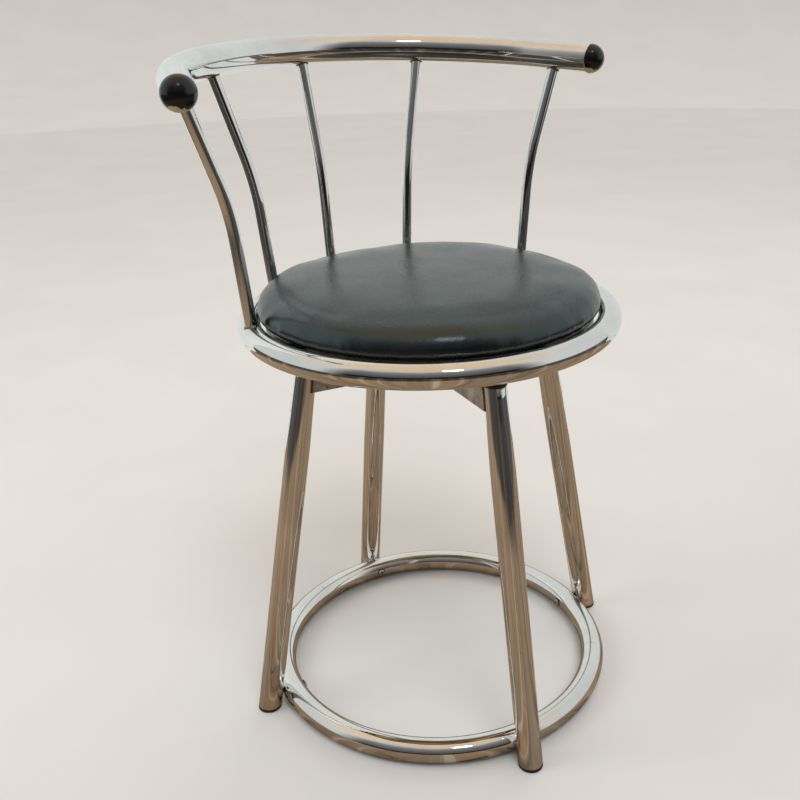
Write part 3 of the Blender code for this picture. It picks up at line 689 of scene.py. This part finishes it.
def leg_section(azimuth, height, radius, sides=64):
    centre = polar(leg_spread(height), azimuth, height)
    outward = polar(1.0, azimuth, 0.0)
    sideways = Vector((outward.y, -outward.x, 0.0))
    angles = [2 * math.pi * i / sides for i in range(sides)]
    return [
        centre + outward * (radius * LEG_STRETCH * math.cos(a)) + sideways * (radius * math.sin(a))
        for a in angles
    ]


FOOT_RING_RADIUS = leg_spread(FOOT_RING_HEIGHT) - (2 * TUBE_RADIUS + GAP) * LEG_STRETCH


def make_legs(chrome, plastic):
    rim = 0.0004
    for i, azimuth in enumerate(LEG_AZIMUTHS, start=1):
        bottom = PLUG_FLANGE + GAP
        outside = [(bottom, TUBE_RADIUS - rim), (bottom + rim, TUBE_RADIUS)]
        outside += [(z, leg_radius(z)) for z in (bottom + 0.002, 0.02, 0.10, 0.20, 0.285)]
        neck_steps = [LEG_TOP - LEG_NECK_LENGTH * (1 - s / 10) for s in range(10)]
        outside += [(z, leg_radius(z)) for z in neck_steps]
        outside += [(LEG_TOP - rim, LEG_NECK_RADIUS), (LEG_TOP, LEG_NECK_RADIUS - rim)]
        inside = [(z, leg_radius(z) - TUBE_WALL) for z in (LEG_TOP, 0.2, bottom)]
        bm = bmesh.new()
        skin(bm, [leg_section(azimuth, z, r) for z, r in outside + inside], loop=True)
        piece(f"leg_tube_{i}", bm, chrome, "base", [f"leg_{i}"])

        stem = TUBE_RADIUS - TUBE_WALL - GAP
        plug = [(0.0, 0.0098), (0.0, 0.0112), (0.0004, 0.0120), (0.0012, 0.0125), (0.0026, 0.0126)]
        plug += [(PLUG_FLANGE, 0.0123), (PLUG_FLANGE, stem), (0.0105, stem - 0.0005)]
        bm = bmesh.new()
        skin(bm, [leg_section(azimuth, z, r) for z, r in plug])
        piece(f"leg_plug_{i}", bm, plastic, "base", [f"foot_plug_{i}"])

        lip = LEG_TOP + GAP
        cap = [(LEG_TOP - 0.012, 0.0085), (lip, 0.0092), (lip, 0.0114), (lip + 0.0004, 0.0118)]
        cap += [(lip + 0.0017, 0.0118), (lip + 0.0028, 0.0110), (lip + 0.0038, 0.0086)]
        cap += [(lip + 0.0043, 0.0050), (lip + 0.0045, 0.0012)]
        bm = bmesh.new()
        skin(bm, [leg_section(azimuth, z, r) for z, r in cap])
        piece(f"leg_end_{i}", bm, plastic, "base", [f"leg_cap_{i}"])


def make_ring(name, radius, height, chrome, body, node):
    bm = bmesh.new()
    path = [polar(radius, -2 * math.pi * i / RING_STEPS, height) for i in range(RING_STEPS)]
    skin(bm, sweep_sections(path, TUBE_RADIUS, RING_SIDES, closed=True), loop=True)
    piece(name, bm, chrome, body, [node])


def rail_point(place):
    angle = max(-RAIL_ARC_HALF_ANGLE, min(RAIL_ARC_HALF_ANGLE, place / RAIL_ARC_RADIUS))
    beyond = place - RAIL_ARC_RADIUS * angle
    x = RAIL_ARC_RADIUS * math.sin(angle) + beyond * math.cos(angle)
    y = RAIL_ARC_CENTRE_Y + RAIL_ARC_RADIUS * math.cos(angle) - beyond * math.sin(angle)
    return Vector((x, y, RAIL_HEIGHT + RAIL_SLOPE * y))


def rail_axis(side):
    end = rail_point(side * RAIL_HALF_LENGTH)
    return (end - rail_point(side * (RAIL_HALF_LENGTH - 0.01))).normalized()


def make_rail(chrome, knob):
    rim = 0.0005
    length = RAIL_HALF_LENGTH - GAP
    path = [rail_point(-length + 2 * length * i / RAIL_STEPS) for i in range(RAIL_STEPS + 1)]
    first = path[0] - (path[0] - path[1]).normalized() * rim
    last = path[-1] - (path[-1] - path[-2]).normalized() * rim
    path = [path[0], first, *path[1:-1], last, path[-1]]
    radii = [RAIL_RADIUS - rim, *[RAIL_RADIUS] * (len(path) - 2), RAIL_RADIUS - rim]
    bm = bmesh.new()
    skin(bm, sweep_sections(path, radii, RAIL_SIDES))
    piece("rail_tube", bm, chrome, "seat", ["back_rail"])
    for name, side in (("rail_knob_left", -1), ("rail_knob_right", 1)):
        axis = rail_axis(side)
        profile = [(0.0, -0.002), (RAIL_RADIUS - 0.0030, -0.002), (RAIL_RADIUS - 0.0012, 0.0)]
        profile += [(RAIL_RADIUS - 0.0004, 0.0001), (RAIL_RADIUS, 0.0006)]
        for i in range(1, KNOB_ARC_STEPS):
            a = math.pi / 2 * i / KNOB_ARC_STEPS
            profile.append((RAIL_RADIUS * math.cos(a), RAIL_RADIUS * math.sin(a)))
        profile.append((0.0, RAIL_RADIUS))
        bm = bmesh.new()
        spun(bm, profile, 48)
        bmesh.ops.rotate(bm, verts=bm.verts, matrix=UP.rotation_difference(axis).to_matrix())
        obj = piece(f"{name}_ball", bm, knob, "seat", [name])
        obj.location = rail_point(side * RAIL_HALF_LENGTH)


# Spindles and their welds


def spindle_path(azimuth, place, steps=14):
    foot = polar(SEAT_RING_RADIUS, azimuth, SEAT_RING_HEIGHT)
    head = rail_point(place)
    bend = foot.lerp(head, SPINDLE_BEND_SHARE)
    bend.z = SPINDLE_BEND_HEIGHT
    lower = bend + (foot - bend).normalized() * SPINDLE_BEND_LENGTH
    upper = bend + (head - bend).normalized() * SPINDLE_BEND_LENGTH
    shares = [i / steps for i in range(steps + 1)]
    curve = [lower.lerp(bend, t).lerp(bend.lerp(upper, t), t) for t in shares]
    below = [foot, foot.lerp(lower, 0.35), foot.lerp(lower, 0.7)]
    return [*below, *curve, upper.lerp(head, 0.5), head]


def ring_distance(point):
    flat = math.hypot(point.x, point.y) - SEAT_RING_RADIUS
    return math.hypot(flat, point.z - SEAT_RING_HEIGHT) - TUBE_RADIUS


def rail_distance(point):
    low, high = -RAIL_HALF_LENGTH, RAIL_HALF_LENGTH
    for _ in range(40):
        a, b = low + (high - low) / 3, high - (high - low) / 3
        if (rail_point(a) - point).length < (rail_point(b) - point).length:
            high = b
        else:
            low = a
    return (rail_point((low + high) / 2) - point).length - RAIL_RADIUS


def surface_point(start, direction, distance, reach=0.03):
    """Where a line from outside a tube first meets its surface."""
    low, high = 0.0, reach
    for _ in range(30):
        middle = (low + high) / 2
        if distance(start + direction * middle) > 0:
            low = middle
        else:
            high = middle
    return start + direction * high


def weld_fillet(bm, origin, direction, distance, radius, width, seed):
    """A rippled weld bead round a rod where it meets a tube."""
    across = direction.orthogonal().normalized()
    up = direction.cross(across)
    sections = []
    slope = ((width, -0.0006), (width * 0.62, 0.30), (width * 0.25, 0.72))
    for out, lift in (*slope, (-0.0002, 1.0), (-0.0010, 0.9)):
        ring = []
        for i in range(WELD_SIDES):
            a = 2 * math.pi * i / WELD_SIDES
            ray = across * math.cos(a) + up * math.sin(a)
            wobble = noise.noise(Vector((math.cos(a) * 3.1, math.sin(a) * 3.1, seed * 7.3)))
            ripple = 0.00012 * math.sin(a * 16 + seed)
            reach = radius + out * (1 + 0.30 * wobble) + (ripple if lift > 0 else 0.0)
            foot = surface_point(origin + ray * reach, direction, distance)
            rise = width * 0.9 * lift if lift > 0 else lift
            ring.append(foot - direction * rise)
        sections.append(ring)
    skin(bm, sections, caps=(False, False))


def make_spindles(chrome, weld):
    for i, (azimuth, place) in enumerate(zip(SPINDLE_AZIMUTHS, SPINDLE_RAIL_PLACES), start=1):
        path = spindle_path(azimuth, place)
        bm = bmesh.new()
        skin(bm, sweep_sections(path, SPINDLE_RADIUS, SPINDLE_SIDES))
        piece(f"spindle_rod_{i}", bm, chrome, "seat", [f"spindle_{i}"])
        bm = bmesh.new()
        down = (path[0] - path[1]).normalized()
        weld_fillet(bm, path[0] - down * 0.026, down, ring_distance, SPINDLE_RADIUS, 0.0016, i)
        rise = (path[-1] - path[-2]).normalized()
        weld_fillet(bm, path[-1] - rise * 0.030, rise, rail_distance, SPINDLE_RADIUS, 0.0015, i + 9)
        piece(f"spindle_weld_{i}", bm, weld, "seat")


# Foot ring screws


def screw_profile():
    shares = ((0.45, 0.97), (0.72, 0.84), (0.90, 0.58), (1.0, 0.28), (1.0, 0.0))
    profile = [(0.0, SCREW_HEAD_HEIGHT)]
    profile += [(SCREW_HEAD_RADIUS * r, SCREW_HEAD_HEIGHT * h) for r, h in shares]
    shank = [(SCREW_SHANK_RADIUS, -0.0006), (SCREW_SHANK_RADIUS, -0.020), (0.0, -0.022)]
    return profile + shank


def recess_cutter():
    """A plus-shaped block that sinks the cross recess into a screw's head."""
    wide, narrow = RECESS_REACH, RECESS_HALF_WIDTH
    plus = [(wide, -narrow), (wide, narrow), (narrow, narrow), (narrow, wide), (-narrow, wide)]
    plus += [(-narrow, narrow), (-wide, narrow), (-wide, -narrow), (-narrow, -narrow)]
    plus += [(-narrow, -wide), (narrow, -wide), (narrow, -narrow)]
    levels = (SCREW_HEAD_HEIGHT - RECESS_DEPTH, SCREW_HEAD_HEIGHT + 0.001)
    bm = bmesh.new()
    skin(bm, [[Vector((x, y, z)) for x, y in plus] for z in levels])
    return bm


def make_screws(steel, recess_shade_and_washer_black):
    """Pan-head screws whose cross recess is painted black as painted shade, each on a thin black
    washer.
    """
    seat = FOOT_RING_RADIUS - TUBE_RADIUS - GAP
    washer_outline = [(0.0026, -0.00005), (0.0050, -0.00005), (0.0052, -0.00030)]
    washer_outline += [(0.0026, -0.00030), (0.0026, -0.00005)]
    for i, azimuth in enumerate(LEG_AZIMUTHS, start=1):
        inward = -polar(1.0, azimuth, 0.0)
        place = Matrix.Translation(polar(seat, azimuth, FOOT_RING_HEIGHT))
        place = place @ UP.rotation_difference(inward).to_matrix().to_4x4()
        name = f"ring_screw_head_{i}"
        bm = bmesh.new()
        spun(bm, screw_profile(), 32)
        screw = piece(name, bm, steel, "base", [f"ring_screw_{i}"])
        cut_away(screw, recess_cutter())
        # The recess's faces take the black material: painted shade in the cross recess.
        screw.data.materials.append(recess_shade_and_washer_black)
        for face in screw.data.polygons:
            deep = 0.3 * SCREW_HEAD_HEIGHT < face.center.z < 0.82 * SCREW_HEAD_HEIGHT
            if deep and math.hypot(face.center.x, face.center.y) < 1.02 * RECESS_REACH:
                face.material_index = 1
        screw.data.transform(place @ Matrix.Rotation(0.5 + i * 0.8, 4, "Z"))
        # A thin black washer under each head, which darkens a ring round it.
        bm = bmesh.new()
        spun(bm, washer_outline, 32)
        washer = piece(f"ring_washer_{i}", bm, recess_shade_and_washer_black, "base")
        washer.data.transform(place)


# Cross under the seat


def channel_outside():
    """The outer line of the channel's section, as (across, height) points."""
    half = ARM_WIDTH / 2
    bend = ARM_BEND
    outer = [(-half, ARM_BOTTOM)]
    for centre, start in ((-half + bend, math.pi), (half - bend, math.pi / 2)):
        for i in range(7):
            a = start - math.pi / 2 * i / 6
            outer.append((centre + bend * math.cos(a), ARM_TOP - bend + bend * math.sin(a)))
    outer.append((half, ARM_BOTTOM))
    return outer


def channel_outline():
    """Inverted U of folded sheet with round bends, as (across, height) points."""
    half = ARM_WIDTH / 2
    bend = ARM_BEND
    inner = []
    small = bend - SHEET
    for centre, start in ((half - bend, 0.0), (-half + bend, math.pi / 2)):
        for i in range(5):
            a = start + math.pi / 2 * i / 4
            inner.append((centre + small * math.cos(a), ARM_TOP - bend + small * math.sin(a)))
    ends = (half - SHEET, ARM_BOTTOM), (-half + SHEET, ARM_BOTTOM)
    return [*channel_outside(), ends[0], *inner, ends[1]]


def leg_cutter(azimuth):
    bm = bmesh.new()
    heights = (ARM_BOTTOM - 0.01, LEG_TOP - 0.05, LEG_TOP, LEG_TOP + 0.02)
    skin(bm, [leg_section(azimuth, z, leg_radius(z) + 0.0001, 48) for z in heights])
    return bm


def make_channel(name, node, start, end, azimuth, legs, zinc):
    outline = channel_outline()
    along = polar(1.0, azimuth, 0.0)
    across = Vector((along.y, -along.x, 0.0))
    steps = 12
    sections = []
    for i in range(steps + 1):
        place = along * (start + (end - start) * i / steps)
        sections.append([place + across * x + UP * z for x, z in outline])
    bm = bmesh.new()
    skin(bm, sections)
    obj = piece(name, bm, zinc, "base", [node], math.radians(25))
    for leg in legs:
        cut_away(obj, leg_cutter(leg))
    obj.data.shade_smooth()
    obj.data.set_sharp_from_angle(angle=math.radians(25))


def leg_face(across, height):
    """How far out along an arm the leg's near side is, at a place across the arm."""
    radius = leg_radius(height)
    share = min(1.0, abs(across) / radius)
    return leg_spread(height) - radius * LEG_STRETCH * math.sqrt(1 - share * share)


def make_leg_welds(weld):
    """Bead along the channel's edge where it meets each leg, lumpy along its length."""
    outer = channel_outside()
    dense = []
    for (x0, z0), (x1, z1) in zip(outer, outer[1:]):
        count = max(1, round(math.hypot(x1 - x0, z1 - z0) / 0.0008))
        dense += [(x0 + (x1 - x0) * k / count, z0 + (z1 - z0) * k / count) for k in range(count)]
    for i, azimuth in enumerate(LEG_AZIMUTHS, start=1):
        along = polar(1.0, azimuth, 0.0)
        across = Vector((along.y, -along.x, 0.0))
        path, radii = [], []
        for k, (x, z) in enumerate(dense):
            out = leg_face(x, z) - 0.0004
            path.append(along * out + across * x * 1.02 + UP * z)
            lump = noise.noise(Vector((k * 0.11, i * 5.0, 0.0)))
            radii.append(0.0012 + 0.0006 * lump + 0.00022 * math.sin(k * 1.3))
        radii[0] = radii[-1] = 0.0005
        bm = bmesh.new()
        skin(bm, sweep_sections(path, radii, 10))
        piece(f"leg_weld_{i}", bm, weld, "base")


# Cushion


def make_cushion(vinyl):
    """Foam pad under a pulled vinyl cover: inflated by a short cloth simulation, then creased."""
    low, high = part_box("seat_pad")
    source = frame["nodes"]["seat_pad"]
    mesh = source.data.copy()
    mesh.name = "cushion"
    pad = bpy.data.objects.new("cushion", mesh)
    bpy.context.scene.collection.objects.link(pad)
    bm = bmesh.new()
    bm.from_mesh(mesh)
    bmesh.ops.remove_doubles(bm, verts=bm.verts, dist=1e-5)
    # Pressure swells the pad, so it starts a little smaller and flatter.
    for v in bm.verts:
        if v.co.z > SEAT_RING_HEIGHT + 0.030:
            inward = 1 - (math.hypot(v.co.x, v.co.y) / PAD_CROWN_RADIUS) ** 2
            v.co.z -= PAD_CROWN_DROP * max(0.0, inward)
        if v.co.z > SEAT_RING_HEIGHT + 0.010:
            v.co.x *= PAD_SHRINK
            v.co.y *= PAD_SHRINK
    bm.to_mesh(mesh)
    bm.free()
    remesh = pad.modifiers.new("remesh", "REMESH")
    remesh.mode = "VOXEL"
    remesh.voxel_size = PAD_VOXEL
    soften = pad.modifiers.new("soften", "SMOOTH")
    soften.factor = 0.5
    soften.iterations = 4
    bake(pad)
    inflate(pad)
    shape_cushion(pad, low, high)
    smooth = pad.modifiers.new("fine", "SUBSURF")
    smooth.levels = smooth.render_levels = 1
    bake(pad)
    pad.data.shade_smooth()
    pad.data.materials.clear()
    pad.data.materials.append(vinyl)
    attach(pad, "seat")
    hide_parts("seat_pad")


def inflate(pad):
    """Pressure swells the cover. The edge tucked inside the ring and the flat base are held."""
    rest = [v.co.copy() for v in pad.data.vertices]
    held = pad.vertex_groups.new(name="held")
    hold_below = SEAT_RING_HEIGHT + 0.0085
    held.add([i for i, co in enumerate(rest) if co.z < hold_below], 1.0, "REPLACE")
    cloth = pad.modifiers.new("cloth", "CLOTH")
    settings = cloth.settings
    settings.use_pressure = True
    settings.uniform_pressure_force = PAD_PRESSURE
    settings.effector_weights.gravity = 0.0
    settings.vertex_group_mass = "held"
    settings.tension_stiffness = 40.0
    settings.compression_stiffness = 40.0
    settings.bending_stiffness = 2.0
    settings.quality = 6
    cloth.point_cache.frame_start = 1
    cloth.point_cache.frame_end = SWELL_FRAMES
    scene = bpy.context.scene
    for number in range(1, SWELL_FRAMES + 1):
        scene.frame_set(number)
    graph = bpy.context.evaluated_depsgraph_get()
    swollen = [v.co.copy() for v in pad.evaluated_get(graph).data.vertices]
    pad.modifiers.clear()
    pad.vertex_groups.clear()
    scene.frame_set(1)
    moves = np.array([end - start for start, end in zip(rest, swollen)])
    lengths = np.linalg.norm(moves, axis=1, keepdims=True)
    moves *= np.minimum(1.0, MOST_SWELL / np.maximum(lengths, 1e-9))
    moves = eased(pad.data, moves, SWELL_EASING)
    for v, start, move in zip(pad.data.vertices, rest, moves):
        v.co = start + Vector(move)


def eased(mesh, values, rounds):
    """Averages a value per vertex with its neighbours', which takes out small folds."""
    ends = np.array([e.vertices for e in mesh.edges])
    count = np.bincount(ends.ravel(), minlength=len(mesh.vertices))[:, None]
    for _ in range(rounds):
        total = np.zeros_like(values)
        np.add.at(total, ends[:, 0], values[ends[:, 1]])
        np.add.at(total, ends[:, 1], values[ends[:, 0]])
        values = 0.5 * values + 0.5 * total / np.maximum(count, 1)
    return values


def shape_cushion(pad, low, high):
    """Fits the swollen pad to the space of its solid, and adds the cover's soft unevenness."""
    widest = max(math.hypot(v.co.x, v.co.y) for v in pad.data.vertices)
    tallest = max(v.co.z for v in pad.data.vertices)
    wider = (high.x - 0.0004) / widest
    taller = (high.z + 0.0005 - low.z) / (tallest - low.z)
    tuck = SEAT_RING_HEIGHT + 0.006
    for v in pad.data.vertices:
        co = v.co
        above = min(1.0, max(0.0, (co.z - tuck) / 0.008))
        scale = 1 + (wider - 1) * above
        co.x *= scale
        co.y *= scale
        co.z = low.z + (co.z - low.z) * taller
        slack = noise.noise(Vector((co.x * 9, co.y * 9, 2.0))) * 0.0005
        slack += noise.noise(Vector((co.x * 30, co.y * 30, 5.0))) * 0.0002
        azimuth = math.atan2(co.x, co.y)
        pull = noise.noise(Vector((math.cos(azimuth) * 14, math.sin(azimuth) * 14, 3.0)))
        on_top = min(1.0, max(0.0, (co.z - SEAT_RING_HEIGHT - 0.014) / 0.012))
        co.z += slack * on_top + pull * 0.0003 * above * (1 - on_top)


def make_cover_edge(vinyl):
    """The cover's lower edge: down between board and ring, then folded flat under the board."""
    board_low, board_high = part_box("seat_board")
    under = board_low.z - 0.0002
    steps = 240
    sections = []
    for i in range(steps):
        a = 2 * math.pi * i / steps
        pleat = noise.noise(Vector((math.cos(a) * 22, math.sin(a) * 22, 1.0)))
        trim = 0.150 + 0.004 * noise.noise(Vector((math.cos(a) * 5, math.sin(a) * 5, 8.0)))
        side = BOARD_RADIUS + 0.0022 + 0.0005 * pleat
        profile = [(side + 0.0006, board_high.z + 0.0030), (side, board_high.z - 0.002)]
        profile += [(side, board_low.z + 0.0025), (side - 0.0012, board_low.z + 0.0004)]
        profile += [(side - 0.0040, under), (0.160, under - 0.00002), (trim, under)]
        profile += [(trim, under + 0.00015), (BOARD_RADIUS - 0.001, under + 0.00015)]
        profile += [(BOARD_RADIUS + 0.0008, board_low.z + 0.002)]
        profile += [(BOARD_RADIUS + 0.0010, board_high.z + 0.0028)]
        sections.append([polar(r, a, z) for r, z in profile])
    bm = bmesh.new()
    skin(bm, sections, loop=True)
    piece("cover_edge", bm, vinyl, "seat", sharp=math.radians(60))


def make_staples(steel):
    """Evenly spaced staples through the folded cover into the board, clear of the spider."""
    board_low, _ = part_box("seat_board")
    bm = bmesh.new()
    for i in range(STAPLE_COUNT):
        a = 2 * math.pi * (i + 0.5) / STAPLE_COUNT
        quarter = abs((a + math.pi / 4) % (math.pi / 2) - math.pi / 4)
        if quarter * STAPLE_RADIUS < SPIDER_CLEARANCE:
            continue
        skew = 0.35 * noise.noise(Vector((i * 1.7, 0.3, 0.0)))
        centre = polar(STAPLE_RADIUS, a, board_low.z - 0.0005)
        along = Vector((math.cos(a + skew), -math.sin(a + skew), 0.0))
        ends = [centre - along * STAPLE_HALF_LENGTH, centre + along * STAPLE_HALF_LENGTH]
        lift = UP * 0.0012
        path = [ends[0] + lift, ends[0] + lift * 0.3, ends[0] + along * 0.0004]
        path += [ends[1] - along * 0.0004, ends[1] + lift * 0.3, ends[1] + lift]
        skin(bm, sweep_sections(path, 0.00032, 6))
    piece("cover_staples", bm, steel, "seat")


def paint_nodes(names, material):
    for name in names:
        mesh = frame["nodes"][name].data
        mesh.materials.clear()
        mesh.materials.append(material)


def main():
    make_camera()
    make_world()
    make_lights()
    make_floor()
    make_reflected_floor()
    make_reflected_wall()
    bpy.context.scene.view_settings.view_transform = "Standard"

    chrome = chrome_material("bright_chrome", 0.35, 0.35)
    leg_chrome = chrome_material("leg_chrome", 1.0, 0.8)
    plated_weld = zinc_material("plated_weld", (0.30, 0.25, 0.20), 0.34, 0.9)
    plastic = plastic_material("black_moulded", (0.016, 0.016, 0.017), 0.42)
    knob = knob_material("worn_black", RAIL_RADIUS)
    zinc = zinc_material("zinc_sheet")
    weld = zinc_material("bare_weld", (0.26, 0.23, 0.20), 0.5, 0.8)
    bolt = zinc_material("bolt_zinc", (0.62, 0.61, 0.57), 0.30, 0.15)
    screw_steel = zinc_material("screw_steel", (0.80, 0.74, 0.62), 0.50, 0.2)
    ball_steel = zinc_material("ball_steel", (0.70, 0.70, 0.70), 0.16, 0.05)
    brass = zinc_material("cage_brass", (0.72, 0.53, 0.24), 0.36, 0.15)
    wood = wood_material("plywood")
    vinyl = vinyl_material("black_vinyl_grain")

    make_legs(leg_chrome, plastic)
    make_ring("foot_ring_tube", FOOT_RING_RADIUS, FOOT_RING_HEIGHT, leg_chrome, "base", "foot_ring")
    make_ring("seat_ring_tube", SEAT_RING_RADIUS, SEAT_RING_HEIGHT, chrome, "seat", "seat_ring")
    make_rail(chrome, knob)
    make_spindles(chrome, plated_weld)
    make_screws(screw_steel, plastic)
    reach = leg_spread(ARM_TOP) - ARM_SETBACK
    side = ARM_WIDTH / 2 + GAP
    a = LEG_AZIMUTHS
    make_channel("cross_long", "cross_channel_long", -reach, reach, a[0], (a[0], a[2]), zinc)
    make_channel("cross_short_1", "cross_channel_short_1", side, reach, a[1], (a[1],), zinc)
    make_channel("cross_short_2", "cross_channel_short_2", side, reach, a[3], (a[3],), zinc)
    make_leg_welds(weld)
    make_cushion(vinyl)
    make_cover_edge(vinyl)
    make_staples(bolt)

    paint_nodes(["base_plate", "swivel_lower_plate", "swivel_upper_plate", "seat_spider"], zinc)
    paint_nodes(["lower_race", "upper_race", "swivel_pin"], ball_steel)
    for kind in ("lower_bolt", "upper_bolt", "board_screw"):
        paint_nodes([f"{kind}_{i}" for i in range(1, 5)], bolt)
    paint_nodes([f"ball_{i}" for i in range(1, 9)], ball_steel)
    paint_nodes(["ball_cage"], brass)
    paint_nodes(["seat_board"], wood)


main()
